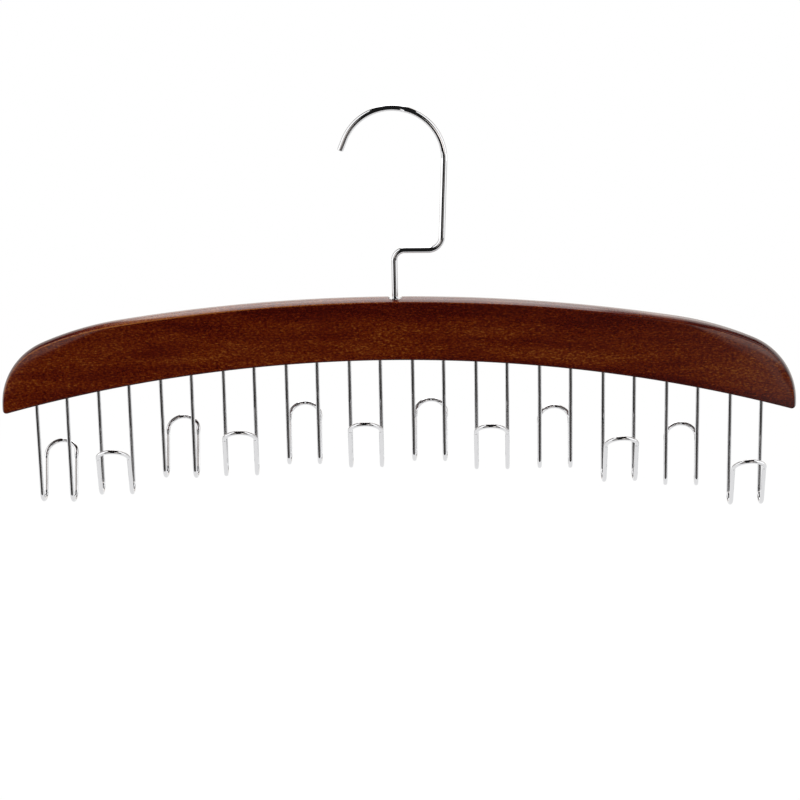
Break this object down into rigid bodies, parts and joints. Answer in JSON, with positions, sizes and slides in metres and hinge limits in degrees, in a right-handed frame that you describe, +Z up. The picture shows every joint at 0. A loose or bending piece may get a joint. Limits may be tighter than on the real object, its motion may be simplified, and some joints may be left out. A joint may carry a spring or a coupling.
{
  "type": "tie hanger",
  "caption": "Curved wooden tie and belt hanger with a cranked wire swivel hook and a row of twin-wire tie hooks that face front and back by turns.",
  "frame": {"origin": "the point inside the crown of the swivel hook where a rail carries it, on the swivel axis", "axes": "+X along the arm to the right as seen from the front, +Y to the back, +Z up along the hook's shank"},
  "size_m": [0.432, 0.0462, 0.2218],
  "materials": {
    "stained_wood": "dark reddish-brown stain under satin lacquer",
    "chromed_wire": "bright chrome plating on drawn wire",
    "chromed_trim": "bright chrome plating on turned steel",
    "plain_steel": "zinc-plated steel"
  },
  "bodies": {
    "hook": {"swivel_hook": "chromed_wire"},
    "arm": {"wooden_arm": "stained_wood", "hook_ferrule": "chromed_trim", "hook_washer": "plain_steel", "tie_hook_01": "chromed_wire", "tie_hook_02": "chromed_wire", "tie_hook_03": "chromed_wire", "tie_hook_04": "chromed_wire", "tie_hook_05": "chromed_wire", "tie_hook_06": "chromed_wire", "tie_hook_07": "chromed_wire", "tie_hook_08": "chromed_wire", "tie_hook_09": "chromed_wire", "tie_hook_10": "chromed_wire", "tie_hook_11": "chromed_wire", "tie_hook_12": "chromed_wire"}
  },
  "joints": [
    {"name": "hook_swivel", "type": "hinge", "parent": "hook", "child": "arm", "pos_m": [0, 0, -0.10155], "axis": [0, 0, 1], "continuous": true}
  ]
}
